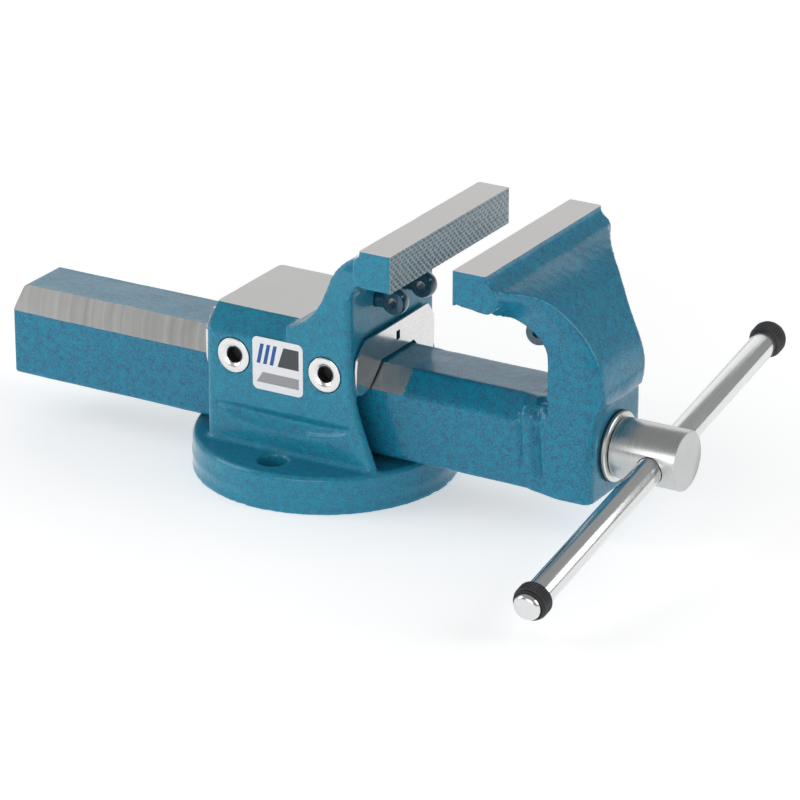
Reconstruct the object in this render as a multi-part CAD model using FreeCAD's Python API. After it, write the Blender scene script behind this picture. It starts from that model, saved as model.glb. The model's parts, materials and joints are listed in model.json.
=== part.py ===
import FreeCAD, Part
import math
import os

# Bench vise, millimetres. +X runs along the slide towards the handle, -Y is the side with the
# guide screws, +Z is up. The origin is the centre of the round base's underside.

# ---- driving dimensions ----
jaw_width = 120.0            # the vise's nominal size
vise_height = 145.5          # underside of the base to the ground jaw tops
jaw_gap = 35.2               # opening in the stored pose
base_radius = 69.6
base_thickness = 20.3
bolt_spacing = 105.0         # two bench bolts, one on each side
bolt_hole_radius = 7.5
sliding_clearance = 0.3      # between faces of parts that move past each other

# fixed body
body_rear = -46.0
body_front = 40.0
body_half_width = 43.0
body_corner = 4.0            # rounding of the housing's upright edges
column_face_top = 111.0      # where the column starts to reach forward under the jaw
wall_thickness = 4.6         # of the housing's sides beside the slide, in front of the nut
pocket_rear = 24.0
pocket_top = 57.5
scoop_top = 42.4             # straight upper edge of the hollow in each side
shoulder_height = 79.5       # where the sides lean in towards the anvil
anvil_height = 90.7
anvil_half_width = 31.0
anvil_front = 2.0
fixed_face = 73.4            # knurled face of the fixed jaw
fixed_jaw_top = 17.6         # width of its ground top
fixed_jaw_bottom = 126.2

# slide bar, an inverted channel with bevelled upper corners
slide_rear = -177.2
slide_half_width = 26.7
slide_top_half_width = 15.35
slide_top = 69.7
slide_bevel_bottom = 59.1
slide_bottom = 23.2
slide_corner = 2.0
channel_half_width = 16.5
channel_top = 61.5
channel_rear = -168.0
channel_front = 140.0

# moving jaw
moving_face = fixed_face + jaw_gap
moving_jaw_top = 18.0
arm_foot_top = 72.0          # top of the block that carries the spindle
arm_foot_front = 168.3
arm_foot_half_width = 27.0
arm_throat = 143.3
arm_shoulder = 0.25          # where the arm's sides turn in to its front, as a share of its depth

# spindle
spindle_height = 45.0
thread_radius = 11.0
thread_pitch = 5.0
journal_radius = 12.0
head_radius = 15.5
head_rear = 171.6
head_front = 208.0
spindle_rear = -130.0
running_clearance = 0.06

# handle, tilted about the spindle's axis
handle_x = 194.4
handle_tilt = 10.8           # degrees above the horizontal on the far side
handle_offset = -8.3         # how far the bar has slid towards the near side
handle_length = 270.0
handle_radius = 7.0
collar_radius = 9.1
collar_length = 7.0
handle_tip = 4.5             # bar end beyond each collar

# guide screws
guide_screw_x = (-28.8, 25.2)
guide_screw_height = 68.35
guide_screw_radius = 9.5
guide_screw_socket = 8.0     # across flats
guide_screw_inner = -34.0

# pipe studs, two in each jaw's throat: a flattened ball with a cross hole, on a shank
stud_height = 103.3
stud_spacing = 28.4
stud_setback = 23.6          # from the jaw's gripping face to the ball's centre
stud_radius = 6.9
stud_half_width = 3.1
stud_hole_radius = 2.5
stud_shank_radius = 4.4
stud_shank_start = 4.6
stud_shank_end = 18.0
fixed_stud_x = fixed_face - stud_setback
moving_stud_x = moving_face + stud_setback

# spindle nut, held from below by two screws
nut_rear = -15.0
nut_front = 31.0
nut_radius = 15.2
nut_screw_x = (-9.0, 25.0)
nut_screw_radius = 4.0
nut_screw_head_radius = 6.5
nut_screw_seat = 10.0

# cover plate over the gap between housing and slide
plate_thickness = 1.2
plate_gap = 1.9
plate_half_width = 38.8
plate_top = 86.2
plate_bottom = 57.7
plate_slot_half_width = 1.8
plate_slot_low = 76.8
plate_slot_high = 81.7

# rings between the arm's foot and the spindle's head
bush_radius = 15.0
seal_radius = 18.35
seal_thickness = 1.2
washer_radius = 18.05
washer_thickness = 1.8
ring_bore = journal_radius + 0.4

# collar that pulls the arm back when the vise opens
retainer_front = channel_front - 2.6
retainer_length = 8.0
retainer_radius = 15.5
retainer_pin_radius = 2.0

V = FreeCAD.Vector
X_AXIS = V(1, 0, 0)
Y_AXIS = V(0, 1, 0)
Z_AXIS = V(0, 0, 1)


# ---- helpers ----
def box(x0, x1, y0, y1, z0, z1):
    return Part.makeBox(x1 - x0, y1 - y0, z1 - z0, V(x0, y0, z0))


def cylinder_x(radius, x0, x1, y=0.0, z=0.0):
    return Part.makeCylinder(radius, x1 - x0, V(x0, y, z), X_AXIS)


def cylinder_y(radius, y0, y1, x=0.0, z=0.0):
    return Part.makeCylinder(radius, y1 - y0, V(x, y0, z), Y_AXIS)


def cylinder_z(radius, z0, z1, x=0.0, y=0.0):
    return Part.makeCylinder(radius, z1 - z0, V(x, y, z0), Z_AXIS)


def ring_x(outer, inner, x0, x1, z=0.0):
    return cylinder_x(outer, x0, x1, 0, z).cut(cylinder_x(inner, x0 - 1, x1 + 1, 0, z))


def polygon(points):
    return Part.makePolygon(points + [points[0]])


def spline(points):
    curve = Part.BSplineCurve()
    curve.interpolate(points)
    return curve.toShape()


def prism_x(outline, x0, x1):
    """A solid between x0 and x1 whose section is a closed list of (y, z)."""
    wire = polygon([V(x0, y, z) for y, z in outline])
    return Part.Face(wire).extrude(V(x1 - x0, 0, 0))


def prism_y(outline, half_width):
    """A solid across the vise whose side view is a closed list of (x, z)."""
    wire = polygon([V(x, -half_width, z) for x, z in outline])
    return Part.Face(wire).extrude(V(0, 2 * half_width, 0))


def hex_prism(across_flats, length, base, direction):
    """A hexagonal bar, for a socket."""
    radius = across_flats / math.sqrt(3)
    corners = [V(radius * math.cos(math.radians(60 * i)), radius * math.sin(math.radians(60 * i)), 0)
               for i in range(6)]
    bar = Part.Face(polygon(corners)).extrude(V(0, 0, length))
    bar.Placement = FreeCAD.Placement(base, FreeCAD.Rotation(Z_AXIS, direction))
    return bar


def fillet(shape, radius, wanted):
    edges = [edge for edge in shape.Edges if wanted(edge)]
    return shape.makeFillet(radius, edges)


def chamfer(shape, size, wanted):
    edges = [edge for edge in shape.Edges if wanted(edge)]
    return shape.makeChamfer(size, edges)


def on_plane(axis, value, tolerance=0.01):
    """Tests whether every vertex of an edge has the same x, y or z."""
    def test(edge):
        return all(abs(getattr(v.Point, axis) - value) < tolerance for v in edge.Vertexes)
    return test


def runs_along(edge, axis):
    """Tests for a straight edge parallel to x, y or z."""
    if not isinstance(edge.Curve, Part.Line):
        return False
    return abs(abs(getattr(edge.Curve.Direction, axis)) - 1) < 1e-6


def union(shapes):
    return shapes[0].multiFuse(shapes[1:]).removeSplitter()


def save(name, solids):
    if not isinstance(solids, list):
        solids = [solids]
    shape = solids[0] if len(solids) == 1 else Part.makeCompound(solids)
    shape.exportStep("parts/" + name + ".step")
    boxes = shape.BoundBox
    print("%-22s solids %d valid %s volume %9.0f  x %7.1f..%6.1f  y %6.1f..%6.1f  z %6.1f..%6.1f" % (
        name, len(shape.Solids), shape.isValid(), shape.Volume,
        boxes.XMin, boxes.XMax, boxes.YMin, boxes.YMax, boxes.ZMin, boxes.ZMax))


# ---- the slide's section, shared by the bar and the hole that guides it ----
def slide_section(gap=0.0):
    bevel = gap * math.tan(math.radians(22.5))
    side = slide_half_width + gap
    top = slide_top + gap
    return [(-side, slide_bottom - gap), (side, slide_bottom - gap),
            (side, slide_bevel_bottom + bevel), (slide_top_half_width + bevel, top),
            (-slide_top_half_width - bevel, top), (-side, slide_bevel_bottom + bevel)]


# ---- fixed side ----
def fixed_jaw_block():
    back = fixed_face - fixed_jaw_top
    outline = [(fixed_face, fixed_jaw_bottom), (fixed_face, vise_height), (back, vise_height),
               (back - 0.4, 142.2), (back - 2.9, 141.0), (back - 4.0, 137.0),
               (back - 4.1, 131.0), (back - 2.5, 127.6), (back + 1.0, fixed_jaw_bottom)]
    return prism_y(outline, jaw_width / 2)


def column():
    """The neck between anvil and jaw: its side view crossed with its flared front view."""
    y0 = -jaw_width / 2
    back = [(anvil_front, anvil_height - 0.5), (10.5, 93.2), (17.5, 98.7), (23.0, 106.5),
            (27.0, 114.5), (33.0, 125.0), (40.0, 132.3), (46.5, 137.2), (55.8, 142.3)]
    under = [(58.0, fixed_jaw_bottom + 0.5), (52.0, 124.2), (45.0, 119.0), (body_front, column_face_top)]
    edges = [spline([V(x, y0, z) for x, z in back])]
    edges.append(Part.makeLine(V(55.8, y0, 142.3), V(60.0, y0, 142.3)))
    edges.append(Part.makeLine(V(60.0, y0, 142.3), V(58.0, y0, under[0][1])))
    edges.append(spline([V(x, y0, z) for x, z in under]))
    edges.append(Part.makeLine(V(body_front, y0, under[-1][1]), V(body_front, y0, 75.0)))
    edges.append(Part.makeLine(V(body_front, y0, 75.0), V(anvil_front, y0, 75.0)))
    edges.append(Part.makeLine(V(anvil_front, y0, 75.0), V(anvil_front, y0, back[0][1])))
    side_view = Part.Face(Part.Wire(edges)).extrude(V(0, jaw_width, 0))

    x0 = 0.0
    flare = [(body_half_width, 98.0), (43.4, 108.0), (44.8, 116.0), (47.6, 125.0), (52.0, 133.0),
             (59.0, 141.2)]
    right = [V(x0, y, z) for y, z in flare]
    left = [V(x0, -y, z) for y, z in flare]
    edges = [spline(right)]
    edges.append(Part.makeLine(right[-1], V(x0, 59.0, 143.0)))
    edges.append(Part.makeLine(V(x0, 59.0, 143.0), V(x0, -59.0, 143.0)))
    edges.append(Part.makeLine(V(x0, -59.0, 143.0), left[-1]))
    edges.append(spline(left))
    low_left, low_right = V(x0, -body_half_width, 70.0), V(x0, body_half_width, 70.0)
    edges.append(Part.makeLine(left[0], low_left))
    edges.append(Part.makeLine(low_left, low_right))
    edges.append(Part.makeLine(low_right, right[0]))
    front_view = Part.Face(Part.Wire(Part.__sortEdges__(edges))).extrude(V(65.0, 0, 0))
    neck = side_view.common(front_view)
    for side in (-1, 1):
        neck = neck.cut(corner_trim(side))
    return neck


def corner_trim(side):
    """What the column's front corner loses where it continues the housing's rounding."""
    x0, y0 = body_front - body_corner, body_half_width - body_corner
    corner = box(x0, body_front + 1, y0, y0 + 10, shoulder_height - 5, column_face_top)
    corner = corner.cut(cylinder_z(body_corner, 0, vise_height, x0, y0))
    return corner if side > 0 else corner.mirror(V(0, 0, 0), Y_AXIS)


def housing():
    """The block that holds the slide, with the anvil on its back."""
    w = body_half_width
    outline = [(-w, 0), (w, 0), (w, shoulder_height), (anvil_half_width, anvil_height),
               (-anvil_half_width, anvil_height), (-w, shoulder_height)]
    block = prism_x(outline, body_rear, body_front)
    curve = [(14.5, base_thickness - 2.0), (10.8, 30.3), (7.9, 37.9), (5.0, 46.0), (2.6, 54.0),
             (0.7, 64.0), (0.0, 75.0)]
    front = [V(body_front + forward, -w, z) for forward, z in curve]
    low_rear, top_rear = V(0, -w, front[0].z), V(0, -w, front[-1].z)
    edges = [spline(front), Part.makeLine(front[-1], top_rear), Part.makeLine(top_rear, low_rear),
             Part.makeLine(low_rear, front[0])]
    flare = Part.Face(Part.Wire(edges)).extrude(V(0, 2 * w, 0))
    flare = fillet(flare, body_corner, lambda e: e.BoundBox.XMin > body_front - 0.1
                   and e.BoundBox.ZLength > 20)
    lower = fillet(block, body_corner, lambda e: runs_along(e, "z") and e.BoundBox.ZMax > 50)
    return union([lower, flare])


def slide_pockets():
    """Room beside the slide, open at the front, between the nut and the housing's side walls."""
    w = body_half_width - wall_thickness
    return box(pocket_rear, body_front + 20, -w, w, base_thickness + 0.01, pocket_top)


def waist_scoop(side):
    """A shallow hollow in the housing's side, straight along its top and sagging below."""
    reach, depth, drop = 41.0, 3.6, 10.0
    ball = Part.makeSphere(1.0)
    stretch = FreeCAD.Matrix()
    stretch.scale(reach, depth, drop)
    ball = ball.transformGeometry(stretch)
    ball.translate(V(0, side * body_half_width, scoop_top))
    mouth, inner = side * (body_half_width + 1), side * (body_half_width - drop)
    below = [(mouth, scoop_top + 1), (inner, scoop_top - drop), (inner, scoop_top - 2 * drop),
             (mouth, scoop_top - 2 * drop)]
    return ball.common(prism_x(below, -reach, reach))


def fixed_body():
    disc = cylinder_z(base_radius, 0, base_thickness)
    disc = fillet(disc, 2.2, on_plane("z", base_thickness))
    body = union([disc, housing()])
    body = union([body, column(), fixed_jaw_block()])
    body = body.cut(slide_pockets())
    for side in (-1, 1):
        body = body.cut(waist_scoop(side))
        body = body.cut(cylinder_z(bolt_hole_radius, -1, base_thickness + 6, 0, side * bolt_spacing / 2))
        body = body.cut(cylinder_x(stud_shank_radius, fixed_stud_x - stud_shank_end, body_front + 1,
                                   side * stud_spacing / 2, stud_height))
    body = body.cut(prism_x(slide_section(sliding_clearance), body_rear - 1, body_front + 20))
    for x in guide_screw_x:
        body = body.cut(cylinder_y(guide_screw_radius, -body_half_width - 1, -slide_top_half_width, x,
                                   guide_screw_height))
    for x in nut_screw_x:
        body = body.cut(cylinder_z(nut_screw_head_radius + 0.5, -1, nut_screw_seat, x))
        body = body.cut(cylinder_z(nut_screw_radius + 0.4, 0, slide_bottom, x))
    return body.cut(plate_tongue(1)).cut(plate_tongue(-1))


def stud_ball(radius, half_width):
    ball = Part.makeSphere(radius)
    return ball.common(box(-radius, radius, -half_width, half_width, -radius, radius))


def pipe_stud(centre_x, inwards, y):
    """A flattened ball with a hole across it, on a shank that is driven into a jaw's throat wall."""
    stud = stud_ball(stud_radius, stud_half_width)
    stud = union([stud, cylinder_x(stud_shank_radius, stud_shank_start, stud_shank_end)])
    stud = stud.cut(cylinder_y(stud_hole_radius, -stud_radius, stud_radius))
    if inwards < 0:
        stud.rotate(V(0, 0, 0), Z_AXIS, 180)
    stud.translate(V(centre_x, y, stud_height))
    return stud


# ---- spindle nut, held from below ----
def spindle_nut():
    floor = slide_bottom - sliding_clearance
    nut = union([cylinder_x(nut_radius, nut_rear, nut_front, 0, spindle_height),
                 box(nut_rear, nut_front, -nut_radius, nut_radius, floor, spindle_height)])
    nut = nut.cut(cylinder_x(thread_radius + running_clearance, nut_rear - 1, nut_front + 1, 0,
                             spindle_height))
    for x in nut_screw_x:
        nut = nut.cut(cylinder_z(nut_screw_radius, floor - 1, 32.5, x))
    return nut


def nut_screw(x):
    screw = cylinder_z(nut_screw_head_radius, nut_screw_seat - 8.0, nut_screw_seat, x)
    screw = chamfer(screw, 0.6, on_plane("z", nut_screw_seat - 8.0))
    screw = screw.fuse(cylinder_z(nut_screw_radius, nut_screw_seat, 31.5, x)).removeSplitter()
    return screw.cut(hex_prism(6.0, 4.0, V(x, 0, nut_screw_seat - 8.0), Z_AXIS))


# ---- guide screws and the pads that they press on the bar's bevel ----
def guide_screw(x):
    screw = cylinder_y(guide_screw_radius, -body_half_width - 0.2, guide_screw_inner, x,
                       guide_screw_height)
    screw = chamfer(screw, 0.9, on_plane("y", -body_half_width - 0.2))
    return screw.cut(hex_prism(guide_screw_socket, 6.0, V(x, -body_half_width - 0.2, guide_screw_height),
                               Y_AXIS))


def guide_pad(x):
    pad = cylinder_y(guide_screw_radius - 0.3, guide_screw_inner, -15.8, x, guide_screw_height)
    return pad.cut(prism_x(slide_section(0.15), x - 15, x + 15))


# ---- cover plate over the gap between housing and slide ----
def plate_face(end):
    """The inner face of the front (1) or rear (-1) plate."""
    return body_front + plate_gap if end > 0 else body_rear - plate_gap


def plate_tongue(end):
    """The strip below the slot, bent back into the housing; it holds the plate off the casting."""
    outer = plate_face(end) + end * 0.2
    inner = outer - end * (plate_gap + 3.0)
    return box(min(outer, inner), max(outer, inner), -plate_slot_half_width, plate_slot_half_width,
               plate_slot_low - 2.2, plate_slot_low)


def cover_plate(end):
    x0 = plate_face(end) if end > 0 else plate_face(end) - plate_thickness
    w, top, low = plate_half_width, plate_top, plate_bottom
    bevel = 1.6
    side = bevel * math.tan(math.radians(22.5))
    right = [(w - 8.3, top), (w - 6.0, top - 2.0), (w - 0.6, top - 8.4), (w, top - 14.0), (w, low + 4.6),
             (w - 1.4, low + 1.2), (w - 4.4, low), (slide_half_width + side + 1.2, low + 1.4),
             (slide_half_width + side, slide_bevel_bottom + side),
             (slide_top_half_width + side, slide_top + bevel)]
    left = [(-y, z) for y, z in reversed(right)]
    plate = prism_x(right + left, x0, x0 + plate_thickness)
    slot = box(x0 - 1, x0 + 5, -plate_slot_half_width, plate_slot_half_width, plate_slot_low,
               plate_slot_high)
    return plate.cut(slot).fuse(plate_tongue(end)).removeSplitter()


def label_plate():
    size_x, size_z, low_x, low_z = 29.8, 28.4, -17.0, 53.3
    label = box(low_x, low_x + size_x, -body_half_width - 0.3, -body_half_width, low_z, low_z + size_z)
    return fillet(label, 3.0, lambda e: runs_along(e, "y"))


# ---- moving side ----
def moving_jaw_block():
    back = moving_face + moving_jaw_top
    outline = [(moving_face, 127.7), (moving_face, vise_height), (back, vise_height),
               (back + 0.6, 142.4), (back + 3.0, 140.2), (back + 5.3, 138.0), (back + 6.2, 134.7),
               (back + 5.2, 129.0), (back + 1.0, 125.6)]
    return prism_y(outline, jaw_width / 2)


def arm():
    """The arm from jaw to slide, narrowing from the jaw's width to the slide's."""
    stations = [            # outer x, z, half width; shoulder half width; inner x, z, half width
        (128.0, 138.6, 58.0, 58.2, 122.0, 128.5, 56.0),
        (135.2, 136.2, 53.5, 54.0, 124.8, 122.0, 50.0),
        (141.3, 133.0, 44.0, 44.6, 127.0, 117.6, 39.0),
        (149.0, 127.0, 35.4, 36.6, 130.8, 113.8, 32.5),
        (157.0, 117.0, 28.6, 31.0, 136.5, 108.6, 29.4),
        (165.3, 104.0, 23.4, 27.6, 141.6, 101.2, 27.6),
        (171.0, 91.0, 22.6, 26.8, arm_throat, 91.0, arm_foot_half_width),
        (172.6, 80.5, 22.5, 26.8, arm_throat, 80.5, arm_foot_half_width),
        (171.0, 71.0, 22.7, 26.8, arm_throat, 71.0, arm_foot_half_width)]
    sections = []
    for outer_x, outer_z, outer_w, shoulder_w, inner_x, inner_z, inner_w in stations:
        shoulder_x = outer_x + (inner_x - outer_x) * arm_shoulder
        shoulder_z = outer_z + (inner_z - outer_z) * arm_shoulder
        right = [V(outer_x, outer_w, outer_z), V(shoulder_x, shoulder_w, shoulder_z),
                 V(inner_x, inner_w, inner_z)]
        left = [V(point.x, -point.y, point.z) for point in reversed(right)]
        sections.append(polygon(right + left))
    return Part.makeLoft(sections, True, False)


def slide_bar():
    bar = prism_x(slide_section(), slide_rear, arm_foot_front - 20)
    return fillet(bar, slide_corner, lambda e: runs_along(e, "x") and e.BoundBox.ZMax < slide_bottom + 1)


def moving_jaw():
    w = arm_foot_half_width
    foot = box(channel_front - 6, arm_foot_front, -w, w, slide_bottom - 0.2, arm_foot_top)
    foot = fillet(foot, 4.4, lambda e: runs_along(e, "z") and e.BoundBox.XMin > arm_foot_front - 1)
    foot = foot.cut(box(0, arm_throat - 0.01, -60, 60, slide_bevel_bottom, 90))
    jaw = union([slide_bar(), foot, arm(), moving_jaw_block()])
    channel = box(channel_rear, channel_front, -channel_half_width, channel_half_width, 0, channel_top)
    jaw = jaw.cut(channel)
    jaw = jaw.cut(cylinder_x(bush_radius, channel_front - 1, arm_foot_front + 1, 0, spindle_height))
    for side in (-1, 1):
        stud_y = side * stud_spacing / 2
        jaw = jaw.cut(cylinder_x(stud_shank_radius, moving_stud_x, moving_stud_x + stud_shank_end, stud_y,
                                 stud_height))
        pocket = stud_ball(stud_radius + sliding_clearance, stud_half_width + sliding_clearance)
        pocket.translate(V(moving_stud_x, stud_y, stud_height))
        jaw = jaw.cut(pocket)
    return jaw


def spindle_bush():
    return ring_x(bush_radius, journal_radius + running_clearance, channel_front, arm_foot_front,
                  spindle_height)


def seal_ring():
    return ring_x(seal_radius, ring_bore, arm_foot_front, arm_foot_front + seal_thickness, spindle_height)


def thrust_washer():
    rear = arm_foot_front + seal_thickness
    front = rear + washer_thickness
    washer = ring_x(washer_radius, ring_bore, rear, front, spindle_height)
    return chamfer(washer, 0.5, lambda e: on_plane("x", front)(e) and e.BoundBox.YLength > 30)


def disc_spring():
    """A conical spring washer between the collar and the foot's wall."""
    small, large = ring_bore, 15.6
    x_out, x_in, thick = channel_front, channel_front - 1.2, 1.1
    outline = [V(x_out, 0, large), V(x_out - thick, 0, large), V(x_in - thick, 0, small), V(x_in, 0, small)]
    ring = Part.Face(polygon(outline)).revolve(V(0, 0, 0), X_AXIS, 360)
    ring.translate(V(0, 0, spindle_height))
    return ring


# ---- spindle ----
def spindle():
    """Head, journal and trapezoidal screw; the screw's crests are rings at the thread's pitch."""
    z = spindle_height
    head = cylinder_x(head_radius, head_rear, head_front, 0, z)
    head = chamfer(head, 1.2, on_plane("x", head_front))
    head = chamfer(head, 0.6, on_plane("x", head_rear))
    journal = cylinder_x(journal_radius, 118.0, head_rear + 1, 0, z)
    root = thread_radius - thread_pitch / 2
    crest, flank = 0.37 * thread_pitch, 0.13 * thread_pitch
    profile = [V(118.5, 0, 0), V(118.5, 0, root)]
    turns = int((118.0 - 4.0 - spindle_rear) / thread_pitch)
    for i in range(turns):
        x = 114.0 - i * thread_pitch
        profile += [V(x, 0, root), V(x - 2 * flank, 0, thread_radius),
                    V(x - 2 * flank - crest, 0, thread_radius), V(x - 4 * flank - crest, 0, root)]
    profile += [V(spindle_rear, 0, root), V(spindle_rear, 0, 0)]
    screw = Part.Face(polygon(profile)).revolve(V(0, 0, 0), X_AXIS, 360)
    screw.translate(V(0, 0, z))
    whole = union([head, journal, screw])
    whole = whole.cut(handle_solid(handle_radius + sliding_clearance, -40, 40))
    return whole.cut(retainer_pin())


def retaining_collar():
    rear = retainer_front - retainer_length
    ring = ring_x(retainer_radius, journal_radius, rear, retainer_front, spindle_height)
    return ring.cut(retainer_pin())


def retainer_pin():
    x = retainer_front - retainer_length / 2
    return cylinder_z(retainer_pin_radius, spindle_height - 15.0, spindle_height + 15.0, x)


# ---- handle, built along +Y from the spindle's axis, then tilted into place ----
def tilt(shape):
    shape.translate(V(handle_x, 0, spindle_height))
    shape.rotate(V(handle_x, 0, spindle_height), X_AXIS, handle_tilt)
    return shape


def handle_solid(radius, start, end):
    return tilt(cylinder_y(radius, start, end))


def handle_bar():
    start = handle_offset - handle_length / 2
    end = handle_offset + handle_length / 2
    bar = cylinder_y(handle_radius, start, end)
    bar = chamfer(bar, 1.3, lambda e: e.BoundBox.YLength < 0.01)
    return tilt(bar)


def handle_collar(side):
    outer = handle_offset + side * (handle_length / 2 - handle_tip)
    inner = outer - side * collar_length
    low, high = min(outer, inner), max(outer, inner)
    collar = cylinder_y(collar_radius, low, high)
    collar = chamfer(collar, 0.8, lambda e: e.BoundBox.YLength < 0.01)
    return tilt(collar.cut(cylinder_y(handle_radius, low - 1, high + 1)))


def handle_ring(side):
    inner = handle_offset + side * (handle_length / 2 - handle_tip)
    centre = inner + side * 0.7
    ring = Part.makeTorus(handle_radius + 0.65, 0.7, V(0, centre, 0), Y_AXIS)
    return tilt(ring.cut(cylinder_y(handle_radius, centre - 2, centre + 2)))


def main():
    os.makedirs("parts", exist_ok=True)
    near, far = -stud_spacing / 2, stud_spacing / 2
    save("fixed_body", fixed_body())
    save("fixed_pipe_stud_near", pipe_stud(fixed_stud_x, -1, near))
    save("fixed_pipe_stud_far", pipe_stud(fixed_stud_x, -1, far))
    save("spindle_nut", spindle_nut())
    save("nut_screws", [nut_screw(x) for x in nut_screw_x])
    for name, x in zip(("rear", "front"), guide_screw_x):
        save("guide_screw_" + name, guide_screw(x))
        save("guide_pad_" + name, guide_pad(x))
    save("cover_plate", cover_plate(1))
    save("rear_cover_plate", cover_plate(-1))
    save("label_plate", label_plate())
    save("moving_jaw", moving_jaw())
    save("moving_pipe_stud_near", pipe_stud(moving_stud_x, 1, near))
    save("moving_pipe_stud_far", pipe_stud(moving_stud_x, 1, far))
    save("spindle_bush", spindle_bush())
    save("seal_ring", seal_ring())
    save("thrust_washer", thrust_washer())
    save("disc_spring", disc_spring())
    save("spindle", spindle())
    save("retaining_collar", retaining_collar())
    save("retainer_pin", retainer_pin())
    save("handle_bar", handle_bar())
    for name, side in (("near", -1), ("far", 1)):
        save("handle_collar_" + name, handle_collar(side))
        save("handle_ring_" + name, handle_ring(side))


main()
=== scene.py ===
import json
import math

import bmesh
import bpy
import numpy as np
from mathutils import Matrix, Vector, noise


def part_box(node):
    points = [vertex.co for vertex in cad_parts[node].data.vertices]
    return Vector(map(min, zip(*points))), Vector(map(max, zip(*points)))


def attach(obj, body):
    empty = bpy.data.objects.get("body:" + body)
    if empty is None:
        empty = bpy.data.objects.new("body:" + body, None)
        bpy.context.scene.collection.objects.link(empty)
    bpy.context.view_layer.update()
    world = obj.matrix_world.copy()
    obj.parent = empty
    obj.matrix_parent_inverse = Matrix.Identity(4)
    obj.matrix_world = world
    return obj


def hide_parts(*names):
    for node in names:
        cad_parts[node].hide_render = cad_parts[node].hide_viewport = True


# The bench vise's looks. Metres, +X along the slide towards the handle, +Z up, and -Y is the side
# with the guide screws and the label.

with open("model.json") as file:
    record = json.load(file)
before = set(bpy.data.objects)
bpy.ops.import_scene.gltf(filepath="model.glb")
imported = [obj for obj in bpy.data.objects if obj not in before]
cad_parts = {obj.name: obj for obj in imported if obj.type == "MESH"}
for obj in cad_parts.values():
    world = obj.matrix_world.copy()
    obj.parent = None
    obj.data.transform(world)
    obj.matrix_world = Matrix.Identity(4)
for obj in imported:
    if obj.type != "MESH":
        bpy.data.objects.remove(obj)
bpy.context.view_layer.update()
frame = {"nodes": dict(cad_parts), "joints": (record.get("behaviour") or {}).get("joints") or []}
nodes = frame["nodes"]

# ---- places, read from the frame ----
body_low, body_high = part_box("fixed_body")
bar_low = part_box("moving_jaw")[0]
label_low, label_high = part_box("label_plate")
spindle_low, spindle_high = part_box("spindle")
bush_low, bush_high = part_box("spindle_bush")
washer_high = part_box("thrust_washer")[1]
screw_boxes = {"rear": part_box("guide_screw_rear"), "front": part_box("guide_screw_front")}
handle_axis = Vector(next(j["axis"] for j in frame["joints"] if j["name"] == "handle_slide"))
handle_tilt = math.atan2(handle_axis.z, handle_axis.y)

jaw_top = body_high.z
jaw_half = 0.060
fixed_face, moving_face = 0.0734, 0.1086
jaw_top_depth, moving_top_depth = 0.0176, 0.018
fixed_face_low, moving_face_low = 0.1262, 0.1277
knurl_sheet = 0.0011                           # thickness of the piece that carries the knurling
grind_stock = 0.003                            # metal left on a casting for the grinder
anvil_top, anvil_half, shoulder = 0.0907, 0.031, 0.0795
anvil_rear, anvil_front = -0.046, 0.002
body_half = 0.043
base_radius, base_top = 0.0696, 0.0203
spindle_z = (bush_low.z + bush_high.z) / 2
handle_x = (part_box("handle_bar")[0].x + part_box("handle_bar")[1].x) / 2

# cutters reach past the whole casting, and the gripping faces are cut down to below the jaws
past_front, past_side, past_top = 0.09, 0.07, 0.16
face_cut_low = 0.114

# slide bar's section
bar_half = 0.0267
bar_top_half = 0.01535
bar_top = 0.0697
bar_bevel_low = 0.0591
bar_bottom = 0.0232


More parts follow.
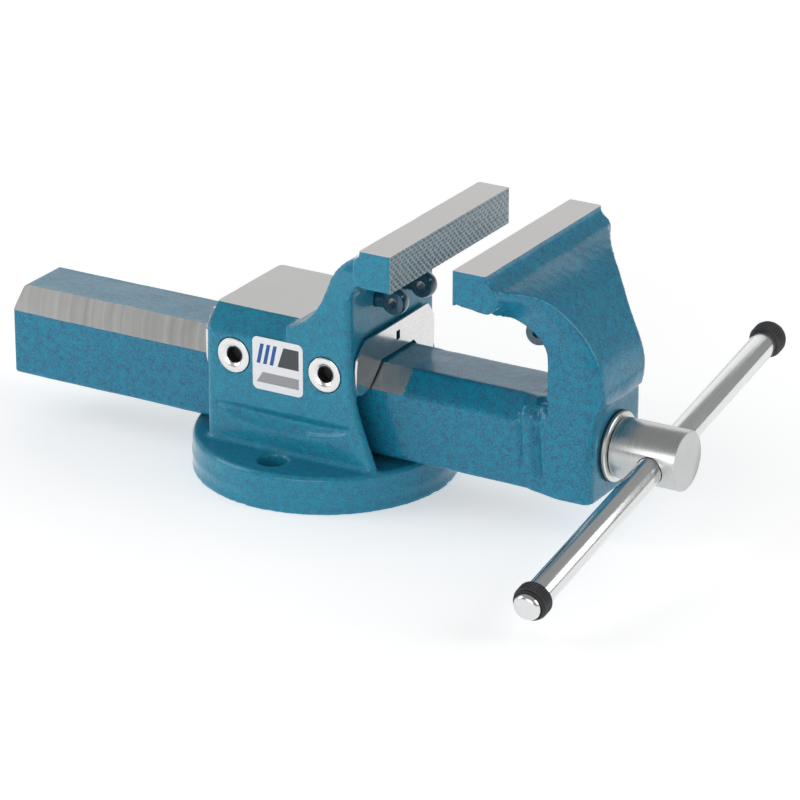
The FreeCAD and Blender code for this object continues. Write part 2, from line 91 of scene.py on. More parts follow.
# ---- materials ----
class Surface:
    """A material's nodes, put together by calls that take values or other nodes' outputs."""

    def __init__(self, name):
        self.material = bpy.data.materials.new(name)
        self.material.use_nodes = True
        self.tree = self.material.node_tree
        self.tree.nodes.clear()
        self.place = self.add("ShaderNodeTexCoord").outputs["Object"]

    def add(self, kind, inputs=None, **settings):
        node = self.tree.nodes.new(kind)
        for key, value in settings.items():
            setattr(node, key, value)
        for key, value in (inputs or {}).items():
            if isinstance(value, bpy.types.NodeSocket):
                self.tree.links.new(value, node.inputs[key])
            else:
                node.inputs[key].default_value = value
        return node

    def stretch(self, scale, rotation=(0, 0, 0), place=None):
        inputs = {"Vector": place or self.place, "Scale": scale, "Rotation": rotation}
        return self.add("ShaderNodeMapping", inputs).outputs["Vector"]

    def noise(self, scale, detail=2.0, roughness=0.5, place=None, output="Fac"):
        inputs = {"Vector": place or self.place, "Scale": scale, "Detail": detail, "Roughness": roughness}
        return self.add("ShaderNodeTexNoise", inputs).outputs[output]

    def cells(self, scale, output="Distance", feature="F1", place=None):
        node = self.add("ShaderNodeTexVoronoi", {"Vector": place or self.place, "Scale": scale},
                        feature=feature)
        return node.outputs[output]

    def math(self, operation, a, b=0.0):
        return self.add("ShaderNodeMath", {0: a, 1: b}, operation=operation).outputs[0]

    def span(self, value, low, high, to_low=0.0, to_high=1.0):
        inputs = {"Value": value, "From Min": low, "From Max": high, "To Min": to_low, "To Max": to_high}
        return self.add("ShaderNodeMapRange", inputs).outputs["Result"]

    def mix(self, share, a, b):
        inputs = {"Factor": share, "A": a, "B": b}
        node = self.add("ShaderNodeMix", data_type="RGBA")
        sockets = {"Factor": 0, "A": 6, "B": 7}
        for key, value in inputs.items():
            socket = node.inputs[sockets[key]]
            if isinstance(value, bpy.types.NodeSocket):
                self.tree.links.new(value, socket)
            else:
                socket.default_value = value if key == "Factor" else (*value, 1.0)
        return node.outputs[2]

    def shift(self, amount, scale, detail=2.0):
        """The place, pushed about by noise of that scale."""
        push = self.noise(scale, detail, output="Color")
        centred = self.add("ShaderNodeVectorMath", {0: push, 1: (0.5, 0.5, 0.5)}, operation="SUBTRACT")
        scaled = self.add("ShaderNodeVectorMath", {0: centred.outputs[0], "Scale": amount},
                          operation="SCALE")
        moved = self.add("ShaderNodeVectorMath", {0: self.place, 1: scaled.outputs[0]}, operation="ADD")
        return moved.outputs[0]

    def bump(self, height, depth, strength=1.0):
        inputs = {"Height": height, "Distance": depth, "Strength": strength}
        return self.add("ShaderNodeBump", inputs).outputs["Normal"]

    def finish(self, colour, roughness, normal=None, metallic=0.0, **more):
        inputs = {"Base Color": colour, "Roughness": roughness, "Metallic": metallic, **more}
        if normal is not None:
            inputs["Normal"] = normal
        shader = self.add("ShaderNodeBsdfPrincipled", inputs)
        output = self.add("ShaderNodeOutputMaterial")
        self.tree.links.new(shader.outputs["BSDF"], output.inputs["Surface"])
        return self.material


def hammertone(name, cell, line_share, deep, light, line, sparkle):
    """Glossy hammertone enamel: flecks of about that size, parted by a net of dull lines."""
    s = Surface(name)
    warped = s.shift(cell * 1.3, 0.8 / cell, 3.0)
    edge = s.cells(1 / cell, feature="DISTANCE_TO_EDGE", place=warped)
    fine_edge = s.cells(2.1 / cell, feature="DISTANCE_TO_EDGE", place=warped)
    grain = s.noise(1 / (cell * 0.30), 3.0, 0.65)
    broad = s.noise(24.0, 2.0)
    body = s.mix(s.span(grain, 0.34, 0.66), deep, light)
    body = s.mix(s.span(broad, 0.3, 0.7, 0.0, 0.22), body, deep)
    glints = s.span(s.cells(1 / (cell * 0.5), place=warped), 0.32, 0.08)
    body = s.mix(s.math("MULTIPLY", glints, sparkle), body, tuple(min(1.0, c * 1.55) for c in light))
    net = s.math("MAXIMUM", s.span(edge, line_share, line_share * 0.2),
                 s.math("MULTIPLY", s.span(fine_edge, line_share, line_share * 0.2), 0.45))
    broken = s.math("MULTIPLY", net, s.span(s.noise(0.5 / cell, 2.0), 0.30, 0.58))
    colour = s.mix(s.math("MULTIPLY", broken, 0.80), body, line)
    height = s.math("SUBTRACT", s.span(edge, 0.0, 0.4), s.math("MULTIPLY", grain, 0.35))
    normal = s.bump(height, 0.00008, 0.45)
    soft = s.bump(s.noise(0.45 / cell, 2.0), 0.00022, 0.30)
    return s.finish(colour, s.span(grain, 0.3, 0.7, 0.36, 0.48), normal, 0.05,
                    **{"Coat Weight": 1.0, "Coat Roughness": 0.16, "Coat IOR": 1.34, "Coat Normal": soft,
                       "Specular IOR Level": 0.15})


def plain_enamel(name, deep, light):
    """Thick enamel that has run together, so that only a soft mottle is left."""
    s = Surface(name)
    mottle = s.noise(420.0, 3.0, 0.6)
    colour = s.mix(s.span(mottle, 0.35, 0.65), deep, light)
    normal = s.bump(s.noise(240.0, 2.0), 0.0002, 0.4)
    return s.finish(colour, s.span(mottle, 0.3, 0.7, 0.25, 0.38), normal, 0.1,
                    **{"Coat Weight": 1.0, "Coat Roughness": 0.06})


def ground_steel(name, tone, along, low=0.30, high=0.42):
    """Surface-ground steel with fine parallel lines; along is the scale of the lines on each axis."""
    s = Surface(name)
    lines = s.noise(1.0, 4.0, 0.7, place=s.stretch(along))
    cloud = s.noise(45.0, 3.0, 0.6)
    colour = s.mix(s.span(lines, 0.3, 0.7), tuple(c * 0.88 for c in tone), tone)
    colour = s.mix(s.span(cloud, 0.35, 0.75, 0.0, 0.18), colour, tuple(c * 0.80 for c in tone))
    normal = s.bump(lines, 0.00002, 0.35)
    return s.finish(colour, s.span(lines, 0.3, 0.7, low, high), normal, 1.0)


def milled_steel(name, tone):
    """A face milled along X: each tooth of the cutter has left a curved mark across it."""
    s = Surface(name)
    parts = s.add("ShaderNodeSeparateXYZ", {0: s.place})
    across = s.math("ABSOLUTE", parts.outputs["Y"])
    sag = s.math("MULTIPLY", s.math("POWER", s.math("SUBTRACT", across, 0.012), 2.0), 26.0)
    swept = s.math("SUBTRACT", parts.outputs["X"], sag)
    place = s.add("ShaderNodeCombineXYZ", {0: swept, 1: 0.0, 2: 0.0}).outputs[0]
    teeth = s.noise(1.0, 4.0, 0.75, place=s.stretch((1500, 1, 1), place=place))
    broad = s.noise(1.0, 2.0, 0.5, place=s.stretch((260, 1, 1), place=place))
    marks = s.math("ADD", s.math("MULTIPLY", teeth, 0.55), s.math("MULTIPLY", broad, 0.45))
    stain = s.noise(60.0, 3.0)
    colour = s.mix(s.span(marks, 0.36, 0.64), tuple(c * 0.74 for c in tone), tone)
    colour = s.mix(s.span(stain, 0.5, 0.8, 0.0, 0.2), colour, (0.30, 0.29, 0.27))
    normal = s.bump(marks, 0.00005, 0.5)
    return s.finish(colour, s.span(marks, 0.35, 0.65, 0.28, 0.46), normal, 1.0)


def turned_steel(name, tone, low, high):
    """Turned steel, its fine lines going round an axis along X."""
    s = Surface(name)
    lines = s.noise(1.0, 3.0, 0.6, place=s.stretch((9000.0, 40.0, 40.0)))
    cloud = s.noise(80.0, 3.0, 0.6)
    colour = s.mix(s.span(lines, 0.3, 0.7), tuple(c * 0.90 for c in tone), tone)
    colour = s.mix(s.span(cloud, 0.45, 0.8, 0.0, 0.22), colour, tuple(c * 0.72 for c in tone))
    normal = s.bump(lines, 0.00001, 0.35)
    return s.finish(colour, s.span(lines, 0.3, 0.7, low, high), normal, 1.0)


def drawn_steel(name, tone, low, high):
    """Bright drawn bar: long streaks along the handle and a few dull patches."""
    s = Surface(name)
    level = s.stretch((1, 1, 1), (-handle_tilt, 0, 0))
    streaks = s.noise(1.0, 3.0, 0.6, place=s.stretch((1400, 14, 1400), place=level))
    cloud = s.noise(55.0, 4.0, 0.65)
    colour = s.mix(s.span(streaks, 0.3, 0.7), tuple(c * 0.90 for c in tone), tone)
    colour = s.mix(s.span(cloud, 0.5, 0.8, 0.0, 0.25), colour, tuple(c * 0.75 for c in tone))
    normal = s.bump(streaks, 0.00001, 0.3)
    return s.finish(colour, s.span(cloud, 0.3, 0.7, low, high), normal, 1.0)


def fine_metal(name, tone, low, high, grain=900.0):
    """Plated or machined metal with an even fine grain."""
    s = Surface(name)
    speck = s.noise(grain, 3.0, 0.6)
    cloud = s.noise(70.0, 3.0, 0.6)
    colour = s.mix(s.span(speck, 0.3, 0.7), tuple(c * 0.88 for c in tone), tone)
    colour = s.mix(s.span(cloud, 0.45, 0.8, 0.0, 0.2), colour, tuple(c * 0.75 for c in tone))
    normal = s.bump(speck, 0.00001, 0.3)
    return s.finish(colour, s.span(cloud, 0.3, 0.7, low, high), normal, 1.0)


def dull_black(name, tone, low, high):
    """Moulded plastic or rubber with a fine matte grain."""
    s = Surface(name)
    speck = s.noise(1300.0, 3.0, 0.6)
    colour = s.mix(s.span(speck, 0.3, 0.7), tone, tuple(c * 1.7 for c in tone))
    normal = s.bump(speck, 0.00003, 0.4)
    return s.finish(colour, s.span(speck, 0.3, 0.7, low, high), normal)


def printed_foil(name, tone):
    """The label's foil or ink: nearly even, with faint print grain."""
    s = Surface(name)
    grain = s.noise(1800.0, 2.0, 0.5)
    colour = s.mix(s.span(grain, 0.3, 0.7), tuple(c * 0.94 for c in tone), tone)
    normal = s.bump(s.noise(150.0, 2.0), 0.00004, 0.3)
    return s.finish(colour, s.span(grain, 0.3, 0.7, 0.26, 0.36), normal)


bar_paint = hammertone("bar_paint", 0.0019, 0.16, (0.002, 0.145, 0.265), (0.006, 0.300, 0.440),
                       (0.024, 0.080, 0.160), 0.35)
body_paint = hammertone("body_paint", 0.0015, 0.14, (0.003, 0.155, 0.275), (0.012, 0.340, 0.470),
                        (0.030, 0.110, 0.200), 0.55)
# The studs' enamel is far darker than the body's blue: painted shade, standing for the shade under the
# jaws
stud_paint = plain_enamel("stud_paint", (0.003, 0.032, 0.060), (0.006, 0.080, 0.120))
ridge_paint = plain_enamel("ridge_paint", (0.110, 0.190, 0.230), (0.220, 0.300, 0.330))
# The pits' dark enamel is painted shade in the knurling's hollows
pit_shade_paint = plain_enamel("pit_shade_paint", (0.010, 0.040, 0.060), (0.030, 0.080, 0.110))
jaw_steel = ground_steel("jaw_steel", (0.58, 0.57, 0.56), (300, 6000, 300))
anvil_steel = ground_steel("anvil_steel", (0.55, 0.55, 0.54), (5200, 260, 300))
bevel_steel = milled_steel("bevel_steel", (0.66, 0.66, 0.65))
head_steel = turned_steel("head_steel", (0.60, 0.61, 0.61), 0.24, 0.36)
bar_steel = drawn_steel("bar_steel", (0.80, 0.81, 0.81), 0.13, 0.24)
nickel = fine_metal("nickel", (0.86, 0.86, 0.85), 0.16, 0.30)
sheet_steel = fine_metal("sheet_steel", (0.80, 0.80, 0.79), 0.14, 0.22)
washer_metal = fine_metal("washer_metal", (0.84, 0.84, 0.80), 0.26, 0.40)
dark_steel = fine_metal("dark_steel", (0.13, 0.13, 0.14), 0.35, 0.55)
bronze = fine_metal("bronze", (0.62, 0.42, 0.20), 0.28, 0.42)
black_plastic = dull_black("black_plastic", (0.028, 0.028, 0.030), 0.42, 0.58)
black_rubber = dull_black("black_rubber", (0.010, 0.010, 0.011), 0.50, 0.70)
foil = printed_foil("label_foil", (0.80, 0.81, 0.83))
blue_ink = printed_foil("blue_ink", (0.010, 0.085, 0.330))
grey_ink = printed_foil("grey_ink", (0.050, 0.055, 0.065))
dull_ink = printed_foil("dull_ink", (0.300, 0.310, 0.330))


# ---- mesh helpers ----
def add_mesh(name, vertices, faces, materials, face_materials=None):
    mesh = bpy.data.meshes.new(name)
    mesh.from_pydata([tuple(v) for v in vertices], [], faces)
    for material in materials:
        mesh.materials.append(material)
    if face_materials is not None:
        mesh.polygons.foreach_set("material_index", face_materials)
    mesh.validate()
    mesh.update()
    obj = bpy.data.objects.new(name, mesh)
    bpy.context.scene.collection.objects.link(obj)
    return obj


def face_outwards(obj):
    bm = bmesh.new()
    bm.from_mesh(obj.data)
    bmesh.ops.recalc_face_normals(bm, faces=bm.faces)
    bm.to_mesh(obj.data)
    bm.free()


def prism(name, outline, offset, place):
    """A closed solid: outline is a list of (a, b), offset a pair of depths, place(a, b, depth) a point."""
    count = len(outline)
    vertices = [place(a, b, depth) for depth in offset for a, b in outline]
    faces = [list(range(count)), list(range(2 * count - 1, count - 1, -1))]
    for i in range(count):
        j = (i + 1) % count
        faces.append([i, count + i, count + j, j])
    obj = add_mesh(name, vertices, faces, [])
    face_outwards(obj)
    return obj


def along_x(a, b, depth):
    return (depth, a, b)


def along_y(a, b, depth):
    return (a, depth, b)


def lathe(name, profile, segments, material, place):
    """A closed solid of revolution: profile is a closed list of (distance along, radius)."""
    rings = len(profile)
    vertices = []
    for along, radius in profile:
        for i in range(segments):
            angle = 2 * math.pi * i / segments
            vertices.append(place(along, radius * math.cos(angle), radius * math.sin(angle)))
    faces = []
    for r in range(rings):
        s = (r + 1) % rings
        for i in range(segments):
            j = (i + 1) % segments
            faces.append([r * segments + i, r * segments + j, s * segments + j, s * segments + i])
    obj = add_mesh(name, vertices, faces, [material])
    bm = bmesh.new()
    bm.from_mesh(obj.data)
    bmesh.ops.remove_doubles(bm, verts=bm.verts, dist=1e-7)
    bmesh.ops.recalc_face_normals(bm, faces=bm.faces)
    bm.to_mesh(obj.data)
    bm.free()
    return obj


def apply_modifier(obj, kind, **settings):
    modifier = obj.modifiers.new(kind.lower(), kind)
    for key, value in settings.items():
        setattr(modifier, key, value)
    evaluated = obj.evaluated_get(bpy.context.evaluated_depsgraph_get())
    mesh = bpy.data.meshes.new_from_object(evaluated)
    obj.modifiers.clear()
    old = obj.data
    obj.data = mesh
    bpy.data.meshes.remove(old)


def join(objects):
    """One mesh from several; the first keeps its name and place."""
    bm = bmesh.new()
    for obj in objects:
        bm.from_mesh(obj.data)
    bm.to_mesh(objects[0].data)
    bm.free()
    for obj in objects[1:]:
        bpy.data.objects.remove(obj)
    return objects[0]


def carve(obj, cutters):
    """Cuts the cutters, one after another, out of obj."""
    for cutter in cutters:
        apply_modifier(obj, "BOOLEAN", operation="DIFFERENCE", object=cutter, solver="MANIFOLD")
        bpy.data.objects.remove(cutter)


def shade(obj, angle=40.0):
    """Smooth shading with edges sharper than the angle kept."""
    obj.data.shade_smooth()
    bm = bmesh.new()
    bm.from_mesh(obj.data)
    limit = math.radians(angle)
    for edge in bm.edges:
        if len(edge.link_faces) == 2:
            first, second = edge.link_faces
            alike = first.material_index == second.material_index
            edge.smooth = alike and edge.calc_face_angle(0.0) < limit
    bm.to_mesh(obj.data)
    bm.free()


def points_of(obj):
    flat = np.zeros(len(obj.data.vertices) * 3)
    obj.data.vertices.foreach_get("co", flat)
    return flat.reshape(-1, 3)


def set_points(obj, points):
    obj.data.vertices.foreach_set("co", points.astype(np.float32).ravel())
    obj.data.update()


def ease(value, low, high):
    """Rises smoothly from 0 at low to 1 at high."""
    t = np.clip((value - low) / (high - low), 0.0, 1.0)
    return t * t * (3 - 2 * t)


def hump(value, centre, width):
    """1 at the centre, falling away to both sides over about that width."""
    return np.exp(-((value - centre) / width) ** 2)


def surface_noise(points, scale, seed):
    """Smooth noise at each point, about -1 to 1."""
    shift = Vector((seed * 3.7, seed * 1.9, seed * 5.3))
    return np.array([noise.noise(Vector(p) * scale + shift) for p in points])


# ---- castings ----
def soften(name, node, stock, voxel, rounds):
    """A forging's or casting's soft skin, from a copy of the CAD part with extra stock on it."""
    copy = bpy.data.objects.new(name, nodes[node].data.copy())
    bpy.context.scene.collection.objects.link(copy)
    copy.data.materials.clear()
    obj = join([copy] + stock)
    apply_modifier(obj, "REMESH", mode="VOXEL", voxel_size=voxel)
    apply_modifier(obj, "SMOOTH", factor=0.5, iterations=rounds)
    return obj


def normals_of(obj):
    flat = np.zeros(len(obj.data.vertices) * 3)
    obj.data.vertex_normals.foreach_get("vector", flat)
    return flat.reshape(-1, 3)


def colour_faces(obj, materials, choose):
    """Gives each face the material that choose(centre, normal) names by its number."""
    obj.data.materials.clear()
    for material in materials:
        obj.data.materials.append(material)
    for face in obj.data.polygons:
        face.material_index = choose(face.center, face.normal)


def bevel_frame(side):
    """One bevel of the slide bar: a point on its low edge, the way up it, and its outward normal."""
    low = Vector((0, side * bar_half, bar_bevel_low))
    run = Vector((0, side * (bar_top_half - bar_half), bar_top - bar_bevel_low))
    out = Vector((0, side * run.z, bar_half - bar_top_half)).normalized()
    return low, run, out


def bevel_stock(name, side, start, end, thick):
    """Metal left on the bevel for the mill to take off."""
    low, run, out = bevel_frame(side)

    def place(x, t, offset):
        point = low + run * t + out * offset
        return (x, point.y, point.z)

    return prism(name, [(start, 0.0), (end, 0.0), (end, 1.0), (start, 1.0)], (-0.001, thick), place)


def bevel_cutter(name, side, start, end, ragged, depth):
    """What the mill takes off one bevel of the slide bar; its front end follows the torn paint."""
    low, run, out = bevel_frame(side)
    outline = [(start, -0.25), (start, 1.25)]
    steps = 26
    for i in range(steps + 1):
        t = 1.25 - 1.5 * i / steps
        wander = noise.noise(Vector((t * 9.0, side * 4.0, 2.0))) * ragged
        outline.append((end + wander + ragged * 0.5 * (i % 2), t))

    def place(x, t, offset):
        point = low + run * t + out * offset
        return (x, point.y, point.z)

    return prism(name, outline, (-depth, 0.006), place)


def slide_hole_cutter(gap):
    bevel = gap * math.tan(math.radians(22.5))
    side, top = bar_half + gap, bar_top + gap
    outline = [(-side, bar_bottom - gap), (side, bar_bottom - gap), (side, bar_bevel_low + bevel),
               (bar_top_half + bevel, top), (-bar_top_half - bevel, top), (-side, bar_bevel_low + bevel)]
    return prism("slide_hole", outline, (body_low.x - 0.01, 0.060), along_x)


def block(name, x0, x1, y0, y1, z0, z1):
    return prism(name, [(y0, z0), (y1, z0), (y1, z1), (y0, z1)], (x0, x1), along_x)


def drum(name, radius, x, z, y0, y1):
    """A round cutter across the vise."""
    turns = [2 * math.pi * i / 72 for i in range(72)]
    outline = [(x + radius * math.cos(turn), z + radius * math.sin(turn)) for turn in turns]
    return prism(name, outline, (y0, y1), along_y)


def build_fixed_body():
    lean = (anvil_half - body_half) / (anvil_top - shoulder)
    high_half = anvil_half + lean * grind_stock
    stock = [block("stock_jaw", fixed_face - jaw_top_depth, fixed_face + grind_stock, -jaw_half, jaw_half,
                   jaw_top - 0.012, jaw_top + grind_stock),
             block("stock_face", fixed_face - 0.004, fixed_face + grind_stock, -jaw_half, jaw_half,
                   fixed_face_low, jaw_top + grind_stock),
             prism("stock_anvil", [(-anvil_half, anvil_top - 0.001), (anvil_half, anvil_top - 0.001),
                                   (high_half, anvil_top + grind_stock),
                                   (-high_half, anvil_top + grind_stock)],
                   (anvil_rear, anvil_front), along_x)]
    obj = soften("body_casting", "fixed_body", stock, 0.00095, 9)
    points = points_of(obj)
    normals = normals_of(obj)
    x, y, z = points.T
    rough = surface_noise(points, 70.0, 1) * 0.00018 + surface_noise(points, 240.0, 2) * 0.00005
    radius = np.hypot(x, y)
    rim = ease(radius, base_radius - 0.002, base_radius - 0.001) * (z < base_top)
    parting = rim * (1 - hump(z, 0.0092, 0.0026)) * 0.0005
    keep = ease(z, 0.001, 0.004)
    set_points(obj, points + normals * ((rough - parting) * keep)[:, None])
    open_side = -0.05                            # past the housing's near side
    rim_gap, rim_depth = 0.00035, 0.003          # dark ring round each guide screw
    cutters = [block("cut_jaw", fixed_face - jaw_top_depth - 0.002, past_front, -past_side, past_side,
                     jaw_top, past_top),
               block("cut_face", fixed_face - knurl_sheet, past_front, -past_side, past_side,
                     face_cut_low, past_top),
               block("cut_anvil", -0.06, 0.0045, -0.05, 0.05, anvil_top, 0.10),
               block("seat_label", label_low.x, label_high.x, open_side, -body_half, label_low.z,
                     label_high.z),
               slide_hole_cutter(0.0006)]
    for low, high in screw_boxes.values():
        cutters.append(drum("cut_rim", (high.z - low.z) / 2 + rim_gap, (low.x + high.x) / 2,
                            (low.z + high.z) / 2, open_side, -body_half + rim_depth))
    carve(obj, cutters)

    def choose(centre, normal):
        if normal.z > 0.999 and abs(centre.z - jaw_top) < 2e-5:
            return 1
        if normal.z > 0.999 and abs(centre.z - anvil_top) < 2e-5:
            return 2
        return 0

    colour_faces(obj, [body_paint, jaw_steel, anvil_steel], choose)
    shade(obj)
    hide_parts("fixed_body")
    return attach(obj, "fixed_side")


def build_moving_jaw():
    back = moving_face + moving_top_depth
    mill_end = 0.0610                            # where the milled stretch of the bevel stops
    stock = [block("stock_jaw", moving_face - grind_stock, back, -jaw_half, jaw_half, jaw_top - 0.012,
                   jaw_top + grind_stock),
             block("stock_face", moving_face - grind_stock, moving_face + 0.004, -jaw_half, jaw_half,
                   moving_face_low, jaw_top + grind_stock)]
    for side in (-1, 1):
        swell = [(side * 0.0262, 0.0570), (side * 0.0260, 0.0625), (side * 0.0225, 0.0672),
                 (side * 0.0150, 0.0698), (side * 0.0150, 0.0570)]
        stock.append(prism("swell", swell, (0.1275, 0.150), along_x))
        stock.append(bevel_stock("bevel_stock", side, bar_low.x, 0.0600, 0.0009))
    obj = soften("jaw_forging", "moving_jaw", stock, 0.00095, 12)
    points = points_of(obj)
    normals = normals_of(obj)
    x, y, z = points.T
    rough = surface_noise(points, 55.0, 3) * 0.00025 + surface_noise(points, 240.0, 4) * 0.00006
    sides = ease(np.abs(y), 0.0235, 0.0255) * (z < 0.066)
    thin_crease = hump(x, 0.1275 + (0.060 - z) * 0.08, 0.0011) * ease(z, 0.030, 0.040)
    thin_crease = thin_crease * ease(z, 0.0655, 0.0600) * 0.0013
    broad_crease = hump(x, 0.1365 + (0.060 - z) * 0.09, 0.0021) * ease(z, 0.024, 0.036)
    broad_crease = broad_crease * ease(z, 0.0610, 0.0570) * 0.0025
    bulge = hump(x, 0.1325, 0.0040) * ease(z, 0.030, 0.045) * 0.0004
    dents = sides * (bulge - thin_crease - broad_crease)
    crumple = hump(x, 0.1385, 0.0060) * ease(z, 0.0640, 0.0685) * (z < 0.076)
    dents = dents + crumple * surface_noise(points * (1.0, 0.6, 1.0), 300.0, 5) * 0.0018
    notch = hump(x, 0.1372, 0.0018) * hump(np.abs(y), 0.0252, 0.0035) * hump(z, 0.0625, 0.0040)
    dents = dents - notch * 0.0020
    points = points + normals * (rough * ease(x, -0.1771, -0.1750) + dents)[:, None]
    droop = ease(x, 0.1340, 0.1520) * ease(z, 0.0400, 0.0240) * (z > 0.015) * 0.0019
    points[:, 2] -= droop
    set_points(obj, points)
    cutters = [block("cut_jaw", moving_face - 0.01, back + 0.0004, -past_side, past_side, jaw_top,
                     past_top)]
    cutters.append(block("cut_face", past_front, moving_face + knurl_sheet, -past_side, past_side,
                         face_cut_low, past_top))
    for side in (-1, 1):
        cutters.append(bevel_cutter("cut_bevel", side, -0.19, mill_end, 0.0016, 0.00005))
    carve(obj, cutters)
    bevel_normal = Vector((0, bar_top - bar_bevel_low, bar_half - bar_top_half)).normalized()

    def choose(centre, normal):
        if normal.z > 0.999 and abs(centre.z - jaw_top) < 2e-5:
            return 1
        if centre.x < 0.066 and abs(abs(normal.y) - bevel_normal.y) < 2e-3 and centre.z > 0.058:
            if abs(normal.z - bevel_normal.z) < 2e-3 and abs(normal.x) < 1e-3:
                return 2
        return 0

    colour_faces(obj, [bar_paint, jaw_steel, bevel_steel], choose)
    shade(obj)
    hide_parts("moving_jaw")
    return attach(obj, "moving_side")


def knurled_panel(name, face, inwards, bottom, body):
    """A gripping face: crossing grooves leave rows of diamond pits. inwards is +1 or -1 along X."""
    pitch_y, pitch_z, depth = 0.0040, 0.0038, 0.00075
    half = jaw_half - 0.00012
    columns = int(round(2 * half / (pitch_y / 10)))
    rows = int(round((jaw_top - bottom) / (pitch_z / 10)))
    ys = np.linspace(-half, half, columns + 1)
    zs = np.linspace(bottom, jaw_top, rows + 1)
    grid_y, grid_z = np.meshgrid(ys, zs)

    def fold(value):
        return np.abs(value - np.round(value)) * 2

    u = grid_y / pitch_y + (grid_z - jaw_top) / pitch_z
    v = grid_y / pitch_y - (grid_z - jaw_top) / pitch_z
    pit = np.minimum(fold(u + 0.5), fold(v + 0.5))
    pit = ease(pit, 0.22, 0.80)
    edge = np.minimum(half - np.abs(grid_y), np.minimum(grid_z - bottom, jaw_top - grid_z))
    pit = pit * ease(edge, 0.0001, 0.0008)
    grid_x = face + inwards * depth * pit
    front = np.stack([grid_x, grid_y, grid_z], -1).reshape(-1, 3)
    across = columns + 1
    faces = []
    for r in range(rows):
        for c in range(columns):
            i = r * across + c
            faces.append([i, i + 1, i + across + 1, i + across])
    rim = list(range(across)) + [r * across + columns for r in range(1, rows + 1)]
    rim += [rows * across + c for c in range(columns - 1, -1, -1)]
    rim += [r * across for r in range(rows - 1, 0, -1)]
    back = [(face + inwards * knurl_sheet, front[i][1], front[i][2]) for i in rim]
    vertices = [tuple(p) for p in front] + back
    first = len(front)
    count = len(rim)
    side_faces = []
    for k in range(count):
        n = (k + 1) % count
        side_faces.append([rim[k], first + k, first + n, rim[n]])
    faces += side_faces
    faces.append([first + k for k in range(count)])
    obj = add_mesh(name, vertices, faces, [ridge_paint, jaw_steel, body_paint, pit_shade_paint])
    face_outwards(obj)
    for polygon in obj.data.polygons:
        sunk = abs(polygon.center.x - face)
        if polygon.normal.z > 0.99 and polygon.center.z > jaw_top - 1e-5:
            polygon.material_index = 1
        elif abs(polygon.normal.y) > 0.99 or polygon.normal.z < -0.99:
            polygon.material_index = 2
        # faces sunk deep into the pits take the dark enamel: painted shade in the hollows
        elif sunk > depth * 0.55:
            polygon.material_index = 3
    shade(obj, 50)
    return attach(obj, body)


# ---- guide screws, cover plate, label ----
def build_guide_screw(which):
    low, high = screw_boxes[which]
    x, z = (low.x + high.x) / 2, (low.z + high.z) / 2
    radius = (high.z - low.z) / 2 - 0.0001
    front, rear = low.y, high.y
    profile = [(rear, 0.0), (rear, radius), (front + 0.0006, radius), (front + 0.0002, radius - 0.0002),
               (front, radius - 0.0006), (front + 0.0001, 0.0066), (front + 0.0003, 0.0058),
               (front + 0.0012, 0.0046), (front + 0.0012, 0.0)]

    def place(along, a, b):
        return (x + a, along, z + b)

    obj = lathe("guide_screw_" + which + "_turned", profile, 64, nickel, place)
    corner = 0.0046
    turns = [math.radians(60 * i + 15) for i in range(6)]
    outline = [(x + corner * math.cos(turn), z + corner * math.sin(turn)) for turn in turns]
    socket = prism("socket", outline, (front - 0.002, front + 0.0066), along_y)
    carve(obj, [socket])

    # The hex socket's walls and floor take the black finish: painted shade in the socket, whose metal is
    # nickel like the head
    def choose(centre, normal):
        in_socket_shade = math.hypot(centre.x - x, centre.z - z) < corner * 0.99
        return 1 if in_socket_shade and front + 0.0012 < centre.y < front + 0.0067 else 0

    colour_faces(obj, [nickel, black_rubber], choose)
    shade(obj, 30)
    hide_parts("guide_screw_" + which)
    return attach(obj, "fixed_side")


def build_cover_plate(node, end):
    """The pressed sheet over one end of the housing, slightly bowed; end is +1 in front, -1 behind."""
    low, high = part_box(node)
    copy = bpy.data.objects.new(node + "_sheet", nodes[node].data.copy())
    bpy.context.scene.collection.objects.link(copy)
    bm = bmesh.new()
    bm.from_mesh(copy.data)
    bmesh.ops.remove_doubles(bm, verts=bm.verts, dist=1e-6)
    step = 0.003
    for axis in (1, 2):
        for i in range(int((high[axis] - low[axis]) / step)):
            where, normal = [0.0, 0.0, 0.0], [0, 0, 0]
            where[axis], normal[axis] = low[axis] + step * (i + 0.5), 1
            everything = bm.verts[:] + bm.edges[:] + bm.faces[:]
            bmesh.ops.bisect_plane(bm, geom=everything, plane_co=where, plane_no=normal)
    bm.to_mesh(copy.data)
    bm.free()
    points = points_of(copy)
    outer = high.x if end > 0 else low.x
    across = points[:, 1] / high.y
    down = (high.z - points[:, 2]) / (high.z - low.z)
    sheet = np.abs(points[:, 0] - outer) < 0.0013
    points[:, 0] -= end * sheet * (0.0010 * across ** 4 * down ** 0.5 + 0.0005 * across ** 2)
    set_points(copy, points)
    copy.data.materials.clear()
    copy.data.materials.append(sheet_steel)
    shade(copy, 35)
    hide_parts(node)
    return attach(copy, "fixed_side")


def label_mark(name, outline, material):
    """A printed patch on the label, from corners in shares of the label's width and height."""
    width, height = label_high.x - label_low.x, label_high.z - label_low.z
    corners = [(label_low.x + a * width, label_low.z + b * height) for a, b in outline]
    obj = prism(name, corners, (label_low.y - 0.00006, label_low.y + 0.0001), along_y)
    obj.data.materials.append(material)
    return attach(obj, "fixed_side")


